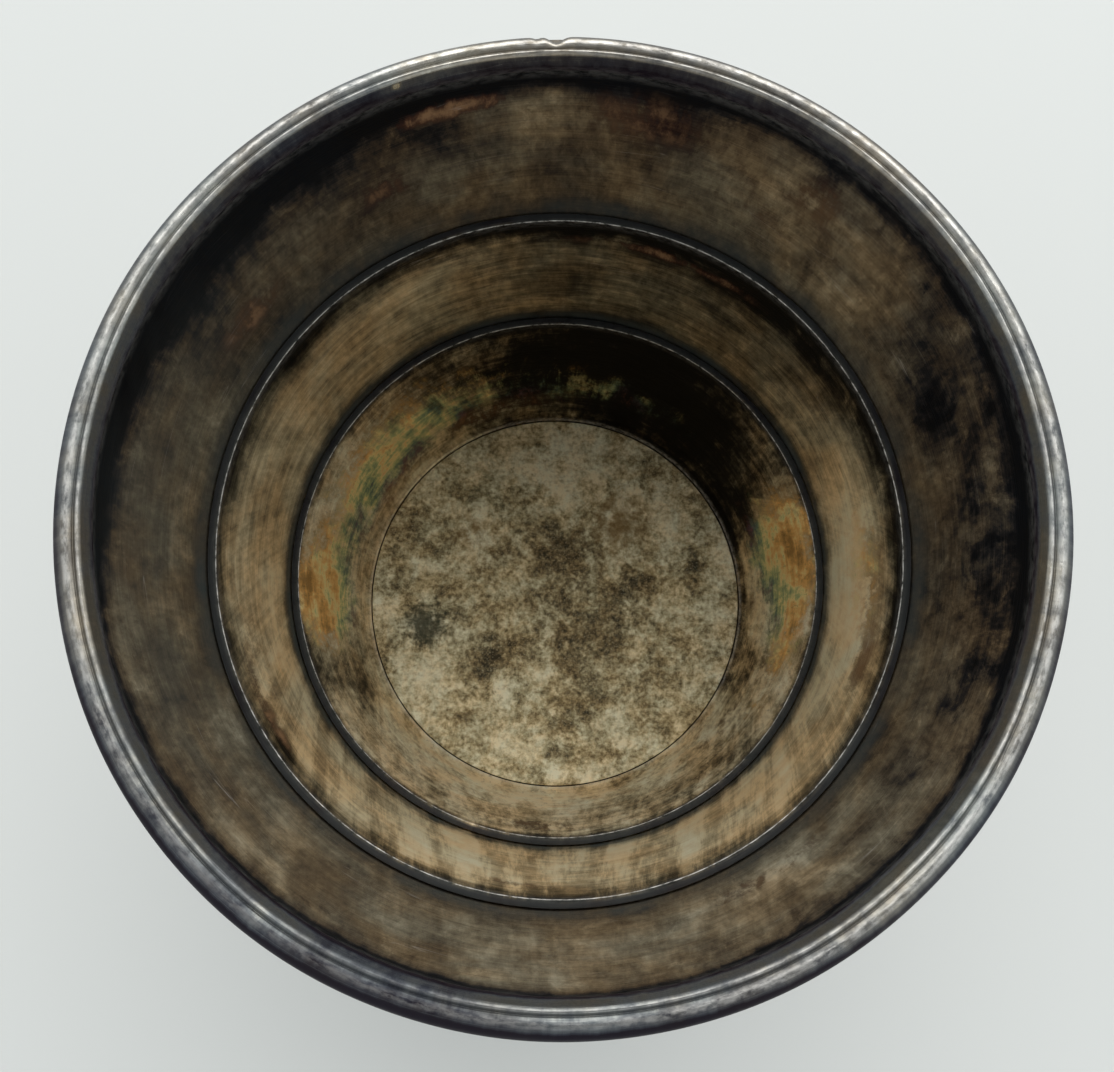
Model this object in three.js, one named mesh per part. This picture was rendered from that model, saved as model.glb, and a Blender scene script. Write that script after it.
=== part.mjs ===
// Collapsible silver-plated cup: three tapered sheet-metal rings that telescope over a foot.
// Millimetres, +Z up. The origin is the centre of the circle that the foot stands on.
// The cup is drawn open: each ring is pulled up until it grips the ring inside it.

import * as THREE from "three";

// Driving dimensions of the open cup.
const CUP_HEIGHT = 64.4;
const RIM_RADIUS = 34.0;
const LOWER_RING_RADIUS = 26.11;
const TOP_STEP = 19.0;
const MIDDLE_STEP = 17.1;
const SLIDING_RING_HEIGHT = 25.4;

// Sheet metal, and how far the rings narrow from top to bottom.
const SHEET = 0.72;
const TAPER = 0.11;
const TOP_RING_TAPER = 0.131;
const EDGE_BREAK = 0.1;

// Clearances between rings that slide, and between pieces that are soldered together.
const MIDDLE_RING_PLAY = 0.23;
const TOP_RING_PLAY = 0.25;
const SEAM_GAP = 0.1;
const RIM_SEAT_GAP = 0.2;
const RIM_SEAT_DEPTH = 0.25;

// Foot: a flat plate inside a half-round moulding that the cup stands on.
const PLATE_TOP = 2.6;
const PLATE_THICKNESS = 1.0;
const PLATE_RADIUS = 30.2;
const FOOT_RADIUS = 32.4;
const FOOT_HEIGHT = 3.2;
const FOOT_LAND_INSET = 0.35;
const FOOT_LAND_WIDTH = 1.0;
const FOOT_LAND_RELIEF = 0.4;
const FOOT_BELLY_HEIGHT = 1.3;
const FOOT_BELLY_LOW = 0.55;
const FOOT_BELLY_HIGH = 2.15;
const FOOT_BELLY_LOW_INSET = 0.12;
const FOOT_BELLY_HIGH_INSET = 0.18;
const FOOT_GROOVE_INSET = 0.55;
const FOOT_GROOVE_HEIGHT = 2.55;
const FOOT_BEAD_INSET = 1.15;
const FOOT_BEAD_HALF_WIDTH = 0.45;
const FOOT_BEAD_DROP = 0.2;
const FOOT_LIP_RISE = 0.1;

// Floor of the cup, let into the bottom of the lower ring a little below its toe.
const FLOOR_RADIUS = 22.15;
const FLOOR_THICKNESS = 0.9;
const TOE_RADIUS = 22.3;
const TOE_STEP = 0.3;
const TOE_CHAMFER = 0.12;
const COVE_HEIGHT = 1.6;
const COVE_MIDDLE = 0.4;

// Rim moulding: a steep inner collar, a bead, a groove, a reed and a long outer shoulder.
const COLLAR_RADIUS = 31.14;
const COLLAR_DROP = 1.7;
const COLLAR_LEAN = 0.12;
const COLLAR_LEAN_DROP = 0.765;
const BEAD_RADIUS = 31.62;
const GROOVE_RADIUS = 31.98;
const GROOVE_DROP = 0.38;
const REED_RADIUS = 32.42;
const REED_DROP = 0.12;
const SHOULDER_RADIUS = 32.9;
const SHOULDER_DROP = 0.62;
const SHOULDER_CURVE_INSET = 0.32;
const SHOULDER_CURVE_DROP = 1.508;
const RIM_WIDEST_DROP = 2.9;
const RIM_TUCK_INSET = 0.5;
const RIM_TUCK_DROP = 4.15;
const RIM_SKIRT_DROP = 5.0;
const RIM_SKIRT_THICKNESS = 0.35;

// Roundness of the turned solids.
const TURN_STEPS = 64;
const CURVE_STEPS = 2;

// Heights and radii that follow from the driving dimensions.
const topRingTop = CUP_HEIGHT - COLLAR_DROP - RIM_SEAT_DEPTH;
const middleRingTop = CUP_HEIGHT - TOP_STEP;
const lowerRingTop = middleRingTop - MIDDLE_STEP;
const topRingBottom = CUP_HEIGHT - SLIDING_RING_HEIGHT;
const middleRingBottom = middleRingTop - SLIDING_RING_HEIGHT;
const floorBottom = PLATE_TOP + SEAM_GAP;
const floorTop = floorBottom + FLOOR_THICKNESS;
const middleRingRadius = LOWER_RING_RADIUS + MIDDLE_RING_PLAY + SHEET + TAPER * MIDDLE_STEP;
const topRingInside = middleRingRadius + TOP_RING_PLAY;

// Inside radius of the top ring at a height.
function topRingInsideAt(z) {
  return topRingInside + TOP_RING_TAPER * (z - middleRingTop);
}

// Inside radius of the middle ring at a height.
function middleRingInsideAt(z) {
  return middleRingRadius - SHEET + TAPER * (z - middleRingTop);
}

// Outside radius of the lower ring at a height.
function lowerRingOutsideAt(z) {
  return LOWER_RING_RADIUS + TAPER * (z - lowerRingTop);
}

// Inside radius of the lower ring at a height above its toe.
function lowerRingInsideAt(z) {
  return lowerRingOutsideAt(z) - SHEET;
}

function plated(colour, roughness) {
  return new THREE.MeshStandardMaterial({ color: colour, roughness: roughness, metalness: 1.0 });
}

function point(radius, height) {
  return new THREE.Vector2(radius, height);
}

// Points of a smooth curve through the given points, without its last one.
function curved(points) {
  const curve = new THREE.SplineCurve(points);
  return curve.getPoints(CURVE_STEPS * (points.length - 1)).slice(0, -1);
}

// A solid turned about the upright axis from a profile of radius and height.
function turned(name, profile, material) {
  const geometry = new THREE.LatheGeometry(profile, TURN_STEPS);
  geometry.rotateX(Math.PI / 2);
  const mesh = new THREE.Mesh(geometry, material);
  mesh.name = name;
  return mesh;
}

// Closed section of a plain tapered ring, counter-clockwise, with broken edges.
function ringSection(insideAt, bottom, top) {
  const corners = [
    point(insideAt(bottom) + EDGE_BREAK, bottom),
    point(insideAt(bottom) + SHEET - EDGE_BREAK, bottom),
    point(insideAt(bottom) + SHEET, bottom + EDGE_BREAK),
    point(insideAt(top) + SHEET, top - EDGE_BREAK),
    point(insideAt(top) + SHEET - EDGE_BREAK, top),
    point(insideAt(top) + EDGE_BREAK, top),
    point(insideAt(top), top - EDGE_BREAK),
    point(insideAt(bottom), bottom + EDGE_BREAK),
  ];
  return corners.concat([corners[0].clone()]);
}

function topRing() {
  const section = ringSection(topRingInsideAt, topRingBottom, topRingTop);
  return turned("top_ring", section, plated(0x5f574a, 0.4));
}

function middleRing() {
  const section = ringSection(middleRingInsideAt, middleRingBottom, middleRingTop);
  return turned("middle_ring", section, plated(0x85775c, 0.35));
}

// The lower ring has a thick toe, coved on the inside, that holds the floor disc.
function lowerRing() {
  const toeTop = floorTop + TOE_STEP;
  const toeEdge = TOE_RADIUS + TOE_CHAMFER;
  const coveTop = toeTop + COVE_HEIGHT;
  const coveMiddle = (lowerRingInsideAt(coveTop) * 2 + TOE_RADIUS) / 3;
  const cove = curved([
    point(lowerRingInsideAt(coveTop), coveTop),
    point(coveMiddle, toeTop + COVE_HEIGHT * COVE_MIDDLE),
    point(toeEdge, toeTop),
  ]);
  const outline = [
    point(TOE_RADIUS, floorBottom),
    point(lowerRingOutsideAt(floorBottom), floorBottom),
    point(LOWER_RING_RADIUS, lowerRingTop - EDGE_BREAK),
    point(LOWER_RING_RADIUS - EDGE_BREAK, lowerRingTop),
    point(lowerRingInsideAt(lowerRingTop) + EDGE_BREAK, lowerRingTop),
    point(lowerRingInsideAt(lowerRingTop), lowerRingTop - EDGE_BREAK),
    ...cove,
    point(toeEdge, toeTop),
    point(TOE_RADIUS, toeTop - TOE_CHAMFER),
    point(TOE_RADIUS, floorBottom),
  ];
  return turned("lower_ring", outline, plated(0x6b5f4c, 0.45));
}

function floorDisc() {
  const outline = [
    point(0, floorBottom),
    point(FLOOR_RADIUS, floorBottom),
    point(FLOOR_RADIUS, floorTop - EDGE_BREAK),
    point(FLOOR_RADIUS - EDGE_BREAK, floorTop),
    point(0, floorTop),
  ];
  return turned("floor_disc", outline, plated(0x8f8878, 0.6));
}

function basePlate() {
  const bottom = PLATE_TOP - PLATE_THICKNESS;
  const outline = [
    point(0, bottom),
    point(PLATE_RADIUS, bottom),
    point(PLATE_RADIUS, PLATE_TOP),
    point(0, PLATE_TOP),
  ];
  return turned("base_plate", outline, plated(0x6d6658, 0.5));
}

// The foot moulding stands on a flat land and hides the edge of the plate.
function footMoulding() {
  const inside = PLATE_RADIUS + SEAM_GAP;
  const landInside = inside + FOOT_LAND_INSET;
  const beadRadius = FOOT_RADIUS - FOOT_BEAD_INSET;
  const belly = curved([
    point(landInside + FOOT_LAND_WIDTH, 0),
    point(FOOT_RADIUS - FOOT_BELLY_LOW_INSET, FOOT_BELLY_LOW),
    point(FOOT_RADIUS, FOOT_BELLY_HEIGHT),
    point(FOOT_RADIUS - FOOT_BELLY_HIGH_INSET, FOOT_BELLY_HIGH),
  ]);
  const bead = curved([
    point(FOOT_RADIUS - FOOT_GROOVE_INSET, FOOT_GROOVE_HEIGHT),
    point(beadRadius + FOOT_BEAD_HALF_WIDTH, FOOT_HEIGHT - FOOT_BEAD_DROP),
    point(beadRadius, FOOT_HEIGHT),
    point(beadRadius - FOOT_BEAD_HALF_WIDTH, FOOT_HEIGHT - FOOT_BEAD_DROP),
    point(inside, PLATE_TOP + FOOT_LIP_RISE),
  ]);
  const outline = [
    point(landInside, 0),
    ...belly,
    point(FOOT_RADIUS - FOOT_BELLY_HIGH_INSET, FOOT_BELLY_HIGH),
    ...bead,
    point(inside, PLATE_TOP + FOOT_LIP_RISE),
    point(inside, FOOT_LAND_RELIEF),
    point(landInside, 0),
  ];
  return turned("foot_moulding", outline, plated(0x77705f, 0.38));
}

// A point of the rim moulding, by its depth below the crest.
function rimPoint(radius, depth) {
  return point(radius, CUP_HEIGHT - depth);
}

// Radius of the rim moulding's seat, just outside the top ring, by its depth below the crest.
function rimSeatAt(depth) {
  return topRingInsideAt(CUP_HEIGHT - depth) + SHEET + RIM_SEAT_GAP;
}

// The rim moulding caps the edge of the top ring and hangs down outside it.
function rimMoulding() {
  const skirtSeat = rimSeatAt(RIM_SKIRT_DROP);
  const skirtOutside = skirtSeat + RIM_SKIRT_THICKNESS;
  const bead = curved([
    rimPoint(COLLAR_RADIUS, COLLAR_DROP),
    rimPoint(COLLAR_RADIUS + COLLAR_LEAN, COLLAR_LEAN_DROP),
    rimPoint(BEAD_RADIUS, 0),
    rimPoint(GROOVE_RADIUS, GROOVE_DROP),
  ]);
  const reed = curved([
    rimPoint(GROOVE_RADIUS, GROOVE_DROP),
    rimPoint(REED_RADIUS, REED_DROP),
    rimPoint(SHOULDER_RADIUS, SHOULDER_DROP),
  ]);
  const shoulder = curved([
    rimPoint(SHOULDER_RADIUS, SHOULDER_DROP),
    rimPoint(RIM_RADIUS - SHOULDER_CURVE_INSET, SHOULDER_CURVE_DROP),
    rimPoint(RIM_RADIUS, RIM_WIDEST_DROP),
    rimPoint(RIM_RADIUS - RIM_TUCK_INSET, RIM_TUCK_DROP),
    rimPoint(skirtOutside, RIM_SKIRT_DROP),
  ]);
  const outline = [
    rimPoint(skirtSeat, RIM_SKIRT_DROP),
    rimPoint(skirtOutside, RIM_SKIRT_DROP),
    ...shoulder.reverse(),
    ...reed.reverse(),
    ...bead.reverse(),
    rimPoint(rimSeatAt(COLLAR_DROP), COLLAR_DROP),
    rimPoint(skirtSeat, RIM_SKIRT_DROP),
  ];
  return turned("rim_moulding", outline, plated(0x7c7a75, 0.3));
}

const cup = new THREE.Group();
cup.add(rimMoulding());
cup.add(topRing());
cup.add(middleRing());
cup.add(lowerRing());
cup.add(floorDisc());
cup.add(basePlate());
cup.add(footMoulding());

export default cup;
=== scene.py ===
"""Looks of the collapsible silver-plated cup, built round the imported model. Metres, +Z up."""

import math

import bpy
import numpy as np
from mathutils import Matrix, Vector


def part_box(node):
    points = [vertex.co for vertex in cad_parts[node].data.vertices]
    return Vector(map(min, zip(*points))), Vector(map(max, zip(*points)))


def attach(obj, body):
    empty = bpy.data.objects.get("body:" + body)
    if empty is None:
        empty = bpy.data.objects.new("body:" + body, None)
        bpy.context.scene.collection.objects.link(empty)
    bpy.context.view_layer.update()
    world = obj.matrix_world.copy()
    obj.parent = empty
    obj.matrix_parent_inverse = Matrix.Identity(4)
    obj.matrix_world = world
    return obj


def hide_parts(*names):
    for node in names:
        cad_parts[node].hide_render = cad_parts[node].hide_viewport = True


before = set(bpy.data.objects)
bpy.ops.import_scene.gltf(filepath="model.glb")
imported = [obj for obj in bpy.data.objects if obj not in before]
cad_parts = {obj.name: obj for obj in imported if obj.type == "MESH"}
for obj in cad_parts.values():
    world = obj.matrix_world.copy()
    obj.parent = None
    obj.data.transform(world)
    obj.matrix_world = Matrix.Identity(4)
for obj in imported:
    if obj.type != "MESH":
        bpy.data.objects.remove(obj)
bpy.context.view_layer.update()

MM = 0.001

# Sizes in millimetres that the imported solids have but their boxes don't tell: the rings' sheet and
# how much a ring's radius grows for each millimetre up, the lower ring's toe, and the rim's seat.
SHEET = 0.72
TAPER = 0.11
TOP_RING_TAPER = 0.131
TOE_RADIUS = 22.3
RIM_SEAT_GAP = 0.2

# Camera: its place from the middle of the rim's crest in millimetres, then how it is turned.
CAMERA_PLACE = (-1.33, -14.33, 66.88)
CAMERA_TILT = math.radians(9.77)
CAMERA_PAN = math.radians(-0.68)
CAMERA_LENS = 34.2

# Room: brightness of its walls and of its dark ceiling, which way the ceiling's middle is,
# and the cosines of the angles from there at which the walls begin and the full dark ends.
WALL_LIGHT = 1.22
CEILING_LIGHT = 0.22
CEILING_CENTRE = (0.0, -0.42, 0.91)
CEILING_END = 0.78
CEILING_DARK = 0.96
ROOM_TINT = (0.97, 1.0, 1.0, 1.0)


# ---------------------------------------------------------------- places taken from the frame

class Span:
    """Bottom, top and outside radius of a CAD node, in millimetres."""

    def __init__(self, node):
        low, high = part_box(node)
        self.bottom = low[2] / MM
        self.top = high[2] / MM
        self.radius = high[0] / MM


class Ring(Span):
    """A tapered sheet ring, widest at its top."""

    def __init__(self, node, taper):
        super().__init__(node)
        self.taper = taper

    def outside(self, z):
        return self.radius + self.taper * (z - self.top)

    def inside(self, z):
        return self.outside(z) - SHEET


rim = Span("rim_moulding")
top_ring = Ring("top_ring", TOP_RING_TAPER)
middle_ring = Ring("middle_ring", TAPER)
lower_ring = Ring("lower_ring", TAPER)
floor_disc = Span("floor_disc")
base_plate = Span("base_plate")
foot = Span("foot_moulding")


# ---------------------------------------------------------------- profiles and turned meshes

def spline(rows, steps):
    """Smooth curve through rows of numbers, with so many steps from each row to the next."""
    p = np.array(rows, float)
    padded = np.vstack([2 * p[0] - p[1], p, 2 * p[-1] - p[-2]])
    out = []
    for i in range(len(p) - 1):
        a, b, c, d = padded[i:i + 4]
        for t in np.arange(steps) / steps:
            linear = 2 * b + (c - a) * t
            square = (2 * a - 5 * b + 4 * c - d) * t ** 2
            cube = (3 * b - a - 3 * c + d) * t ** 3
            out.append(0.5 * (linear + square + cube))
    out.append(p[-1])
    return out


def straight(start, end, steps):
    """Rows from start up to, and without, end."""
    a = np.array(start, float)
    b = np.array(end, float)
    return [a + (b - a) * i / steps for i in range(steps)]


def ripple(angle, height, seed, most_lobes=9, waves=14):
    """Smooth seeded noise round the cup, about -1 to 1, that meets itself after a full turn."""
    rng = np.random.default_rng(seed)
    total = np.zeros_like(angle)
    for _ in range(waves):
        lobes = rng.integers(1, most_lobes + 1)
        climb = rng.uniform(-0.3, 0.3)
        total = total + np.cos(lobes * angle + climb * height + rng.uniform(0, 2 * math.pi))
    return total / math.sqrt(waves)


def bump(value, centre, half_width):
    """1 at the centre, 0.37 a half-width away, and almost 0 at twice that."""
    return np.exp(-((value - centre) / half_width) ** 2)


def turn_bump(angle, centre, half_width):
    """A bump at an angle round the cup, in degrees counter-clockwise from +X."""
    off = (np.degrees(angle) - centre + 180) % 360 - 180
    return bump(off, 0, half_width)


def patches(angle, height, rows):
    """Sum of soft patches: degrees round the cup, height, half-angle, half-height, amount."""
    total = np.zeros_like(angle)
    for turn, z, half_turn, half_height, amount in rows:
        total = total + amount * turn_bump(angle, turn, half_turn) * bump(height, z, half_height)
    return total


# Fields that every turned mesh keeps as attributes for its shader, besides wear and darkening in
# recesses.
FIELDS = ("tarnish", "copper", "bloom", "haze", "sweep", "torn", "outer")
RING_TURNS = 640
RIM_TURNS = 1024


def turned_faces(rows, turns, on_axis):
    """Quads between the rows of a turned grid, and a fan at each end that is on the axis."""
    index = np.arange(rows * turns).reshape(rows, turns)
    faces = []
    for i in range(rows - 1 if on_axis else rows):
        low = index[i]
        high = index[(i + 1) % rows]
        faces += np.stack([low, np.roll(low, -1), np.roll(high, -1), high], -1).tolist()
    if on_axis:
        start = rows * turns
        end = start + 1
        first = index[0]
        last = index[-1]
        faces += [[int(b), int(a), start] for a, b in zip(first, np.roll(first, -1))]
        faces += [[int(a), int(b), end] for a, b in zip(last, np.roll(last, -1))]
    return faces


def store_field(mesh, name, grid, on_axis):
    """Keeps one field as an attribute. A point on the axis takes the mean of the row next to it."""
    values = grid.ravel()
    if on_axis:
        values = np.append(values, [grid[0].mean(), grid[-1].mean()])
    layer = mesh.attributes.new(name, "FLOAT", "POINT")
    layer.data.foreach_set("value", values.astype(np.float32))


def turned(name, profile, paint, bend=None, turns=RING_TURNS):
    """A closed mesh turned about Z. Profile rows are radius, height, wear and darkening in recesses, in
    mm.

    The profile runs counter-clockwise in the radius-height plane and closes on itself, or starts
    and ends on the axis. paint gives the tarnish fields and bend small shifts of the surface.
    """
    rows = np.array(profile, float)
    on_axis = rows[0, 0] == 0
    body = rows[1:-1] if on_axis else rows
    spin = np.arange(turns) / turns * 2 * math.pi
    angle, radius = np.meshgrid(spin, body[:, 0])
    height, wear, dark_in_recesses = [np.repeat(body[:, i:i + 1], turns, axis=1) for i in (1, 2, 3)]
    fields = dict.fromkeys(FIELDS, 0.0)
    fields.update(paint(angle, radius, height))
    fields["wear"] = wear * fields.pop("rubbed", 1.0)
    fields["dark_in_recesses"] = dark_in_recesses
    if bend:
        shift_radius, shift_height = bend(angle, radius, height)
        radius = radius + shift_radius
        height = height + shift_height
    points = np.stack([radius * np.cos(angle), radius * np.sin(angle), height], -1).reshape(-1, 3)
    if on_axis:
        points = np.vstack([points, [[0, 0, rows[0, 1]], [0, 0, rows[-1, 1]]]])
    mesh = bpy.data.meshes.new(name)
    mesh.from_pydata((points * MM).tolist(), [], turned_faces(len(body), turns, on_axis))
    for key, values in fields.items():
        store_field(mesh, key, np.broadcast_to(values, angle.shape), on_axis)
    mesh.shade_smooth()
    mesh.update()
    piece = bpy.data.objects.new(name, mesh)
    bpy.context.scene.collection.objects.link(piece)
    return piece


# ---------------------------------------------------------------- shader helpers

class Nodes:
    """Adds nodes to one material. Inputs are numbers, colours or the outputs of other nodes."""

    def __init__(self, name):
        self.material = bpy.data.materials.new(name)
        self.material.use_nodes = True
        self.tree = self.material.node_tree
        self.tree.nodes.clear()

    def add(self, kind, inputs=None, output=0, **settings):
        node = self.tree.nodes.new(kind)
        for key, value in settings.items():
            setattr(node, key, value)
        for key, value in (inputs or {}).items():
            if isinstance(value, bpy.types.NodeSocket):
                self.tree.links.new(value, node.inputs[key])
            else:
                node.inputs[key].default_value = value
        return node.outputs[output] if node.outputs else node

    def maths(self, operation, a, b=0.0):
        return self.add("ShaderNodeMath", {0: a, 1: b}, operation=operation)

    def plus(self, *terms):
        total = terms[0]
        for term in terms[1:]:
            total = self.maths("ADD", total, term)
        return total

    def times(self, a, b):
        return self.maths("MULTIPLY", a, b)

    def swing(self, noise, amount):
        """Noise about 0.5 turned into a swing about 0."""
        return self.times(self.maths("SUBTRACT", noise, 0.5), amount)

    def spread(self, value, low, high, to_low=0.0, to_high=1.0):
        """Maps low..high smoothly to to_low..to_high."""
        inputs = {0: value, 1: low, 2: high, 3: to_low, 4: to_high}
        return self.add("ShaderNodeMapRange", inputs, interpolation_type="SMOOTHSTEP")

    def mix(self, factor, a, b, blend="MIX"):
        node = self.tree.nodes.new("ShaderNodeMix")
        node.data_type = "RGBA"
        node.blend_type = blend
        for key, value in (("Factor", factor), ("A", a), ("B", b)):
            socket = next(s for s in node.inputs if s.name == key and s.enabled)
            if isinstance(value, bpy.types.NodeSocket):
                self.tree.links.new(value, socket)
            elif key == "Factor":
                socket.default_value = value
            else:
                socket.default_value = (*value, 1.0)
        return next(s for s in node.outputs if s.enabled)

    def ramp(self, value, stops):
        node = self.tree.nodes.new("ShaderNodeValToRGB")
        self.tree.links.new(value, node.inputs[0])
        elements = node.color_ramp.elements
        while len(elements) < len(stops):
            elements.new(1.0)
        for element, (place, colour) in zip(elements, stops):
            element.position = place
            element.color = (*colour, 1.0)
        return node.outputs[0]

    def noise(self, vector, scale=1.0, detail=4.0, roughness=0.55, distortion=0.0):
        inputs = {
            "Vector": vector,
            "Scale": scale,
            "Detail": detail,
            "Roughness": roughness,
            "Distortion": distortion,
        }
        return self.add("ShaderNodeTexNoise", inputs)

    def attribute(self, name):
        return self.add("ShaderNodeAttribute", output="Fac", attribute_name=name)

    def vector(self, operation, a, b=None, scale=None, output=0):
        inputs = {0: a}
        if b is not None:
            inputs[1] = b
        if scale is not None:
            inputs["Scale"] = scale
        return self.add("ShaderNodeVectorMath", inputs, output, operation=operation)


# Radius in millimetres at which the lengths of noise drawn out round the cup are true.
MEAN_RADIUS = 28.0


class Place:
    """Coordinates on a turned piece, in millimetres."""

    def __init__(self, n):
        self.n = n
        here = n.add("ShaderNodeTexCoord", output="Object")
        self.point = n.vector("SCALE", here, scale=1 / MM)
        flat = n.vector("MULTIPLY", self.point, (1.0, 1.0, 0.0))
        self.radius = n.vector("LENGTH", flat, output="Value")
        self.unit = n.vector("NORMALIZE", flat)
        self.height = n.add("ShaderNodeSeparateXYZ", {0: self.point}, "Z")

    def along(self, length, width):
        """Noise in these coordinates is drawn out round the cup: length by width."""
        n = self.n
        lap = n.vector("SCALE", self.unit, scale=MEAN_RADIUS / length)
        run = n.maths("DIVIDE", n.maths("ADD", self.height, self.radius), width)
        return n.vector("ADD", lap, n.add("ShaderNodeCombineXYZ", {"Z": run}))

    def planar(self, length, _width):
        """Plain noise for flat plates, the same size in every direction."""
        return self.n.vector("SCALE", self.point, scale=1.0 / length)

    def spun(self, width):
        """Noise in these coordinates is fine rings round the axis, as spinning leaves."""
        run = self.n.maths("DIVIDE", self.radius, width)
        return self.n.add("ShaderNodeCombineXYZ", {"Z": run})

    def upward(self, length, width, lean, middle):
        """Noise in these coordinates is drawn out up the wall, leaning on the +X and -X sides.

        lean is in radians for each millimetre of climb above the middle height.
        """
        n = self.n
        side = n.add("ShaderNodeSeparateXYZ", {0: self.unit}, "X")
        climb = n.maths("SUBTRACT", self.height, middle)
        angle = n.times(n.times(climb, side), lean)
        turn = {"Vector": self.unit, "Angle": angle}
        leaned = n.add("ShaderNodeVectorRotate", turn, rotation_type="Z_AXIS")
        lap = n.vector("SCALE", leaned, scale=MEAN_RADIUS / width)
        run = n.maths("DIVIDE", self.height, length)
        return n.vector("ADD", lap, n.add("ShaderNodeCombineXYZ", {"Z": run}))


PLATE_SPECULAR = 0.10
RELIEF_DEPTH = 0.00004
FLOOR_RELIEF_DEPTH = 0.00006


def metal_surface(n, colour, roughness, relief, glint, metallic,
                  depth=RELIEF_DEPTH, specular=PLATE_SPECULAR):
    """Metal with a colour, a roughness and a fine relief whose depth is in metres."""
    normal = n.add("ShaderNodeBump", {"Strength": 0.5, "Distance": depth, "Height": relief})
    inputs = {
        "Base Color": colour,
        "Metallic": metallic,
        "Specular Tint": (*glint, 1.0),
        "Specular IOR Level": specular,
        "Roughness": roughness,
        "Normal": normal,
    }
    shader = n.add("ShaderNodeBsdfPrincipled", inputs)
    n.add("ShaderNodeOutputMaterial", {"Surface": shader})
    return n.material


# ---------------------------------------------------------------- colours of the plate

# How metallic the outside of a ring and thick, nearly black oxide are.
OUTSIDE_METAL = 0.95
OXIDE_METAL = 0.15

BARE_SILVER = (0.86, 0.84, 0.80)
NEAR_BLACK = (0.006, 0.006, 0.008)
WARM_GLINT = (0.62, 0.50, 0.34)
COLD_GLINT = (0.55, 0.56, 0.60)
COPPER = (0.27, 0.160, 0.085)
RED_BROWN = (0.060, 0.022, 0.014)
BLUE_HAZE_SHADE = (0.085, 0.098, 0.094)

# The floor's own colours, and how metallic it is under its crust.
FLOOR_GRAIN = (0.60, 0.56, 0.44)
FLOOR_RUST = (0.24, 0.155, 0.065)
FLOOR_GREEN = (0.14, 0.165, 0.115)
FLOOR_STAIN = (0.036, 0.047, 0.038)
FLOOR_CHALK = (0.78, 0.76, 0.68)
FLOOR_METAL = 0.15

# Tints that drift over the tarnish: of the walls and the mouldings, then of the floor.
COOL_CAST = (0.92, 0.98, 1.00)
WARM_CAST = (1.00, 0.90, 0.77)
GREEN_CAST = (0.93, 0.97, 0.94)
OCHRE_CAST = (1.00, 0.93, 0.80)

# Tarnish from thin to black. The walls go yellow and brown, and the mouldings steel grey.
BROWN_TARNISH = [
    (0.00, (0.76, 0.69, 0.54)),
    (0.20, (0.49, 0.425, 0.315)),
    (0.40, (0.27, 0.228, 0.162)),
    (0.56, (0.145, 0.117, 0.082)),
    (0.72, (0.060, 0.046, 0.033)),
    (0.86, (0.015, 0.014, 0.015)),
    (1.00, (0.003, 0.004, 0.006)),
]
GOLD_TARNISH = [
    (0.00, (1.00, 0.90, 0.68)),
    (0.20, (0.88, 0.74, 0.50)),
    (0.40, (0.52, 0.415, 0.265)),
    (0.60, (0.185, 0.150, 0.096)),
    (0.76, (0.058, 0.047, 0.030)),
    (0.90, (0.011, 0.009, 0.007)),
    (1.00, (0.003, 0.003, 0.003)),
]
OLIVE_TARNISH = [
    (0.00, (1.00, 0.94, 0.78)),
    (0.20, (0.82, 0.73, 0.55)),
    (0.40, (0.50, 0.42, 0.285)),
    (0.60, (0.180, 0.146, 0.096)),
    (0.76, (0.050, 0.040, 0.027)),
    (0.90, (0.008, 0.007, 0.006)),
    (1.00, (0.002, 0.002, 0.002)),
]
STEEL_TARNISH = [
    (0.00, (0.62, 0.61, 0.56)),
    (0.25, (0.40, 0.395, 0.360)),
    (0.45, (0.235, 0.232, 0.218)),
    (0.62, (0.115, 0.118, 0.122)),
    (0.80, (0.036, 0.037, 0.046)),
    (1.00, (0.010, 0.007, 0.012)),
]
FLOOR_TARNISH = [
    (0.00, (0.88, 0.83, 0.68)),
    (0.22, (0.71, 0.65, 0.49)),
    (0.42, (0.50, 0.44, 0.30)),
    (0.60, (0.29, 0.240, 0.150)),
    (0.78, (0.155, 0.128, 0.084)),
    (1.00, (0.055, 0.050, 0.038)),
]
# Interference colours of a thin film, from thin to thick.
BLOOM = [
    (0.00, (0.42, 0.24, 0.08)),
    (0.20, (0.90, 0.52, 0.18)),
    (0.36, (0.98, 0.82, 0.40)),
    (0.50, (0.50, 0.56, 0.28)),
    (0.64, (0.16, 0.26, 0.20)),
    (0.80, (0.16, 0.10, 0.14)),
    (1.00, (0.32, 0.11, 0.06)),
]


def plate_noises(n, place, smear_size, flat):
    """The noises that a plate's tarnish is made of, by name.

    Each has its length and width in millimetres, then its scale, detail, roughness and distortion.
    On a flat plate they aren't drawn out, and the brushing is rings round the axis.
    """
    broad = place.planar if flat else place.along
    brushed = place.spun(0.12) if flat else place.along(3.2, 0.12)
    return {
        "cloud": n.noise(broad(5.0, 8.0), 1.0, 8.0, 0.60, 0.4),
        "ragged": n.noise(broad(4.0, 6.0), 1.0, 11.0, 0.70, 0.5),
        "smear": n.noise(broad(*smear_size), 1.0, 7.0, 0.66, 0.3),
        "brush": n.noise(brushed, 1.0, 3.0, 0.6),
        "flecks": n.noise(broad(0.9, 2.2), 1.0, 7.0, 0.70, 0.2),
        "lights": n.noise(place.upward(26.0, 2.6, 0.0175, middle_ring.top), 1.0, 8.0, 0.72),
        "drift": n.noise(broad(8.0, 9.0), 1.0, 7.0, 0.62, 0.3),
    }


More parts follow.
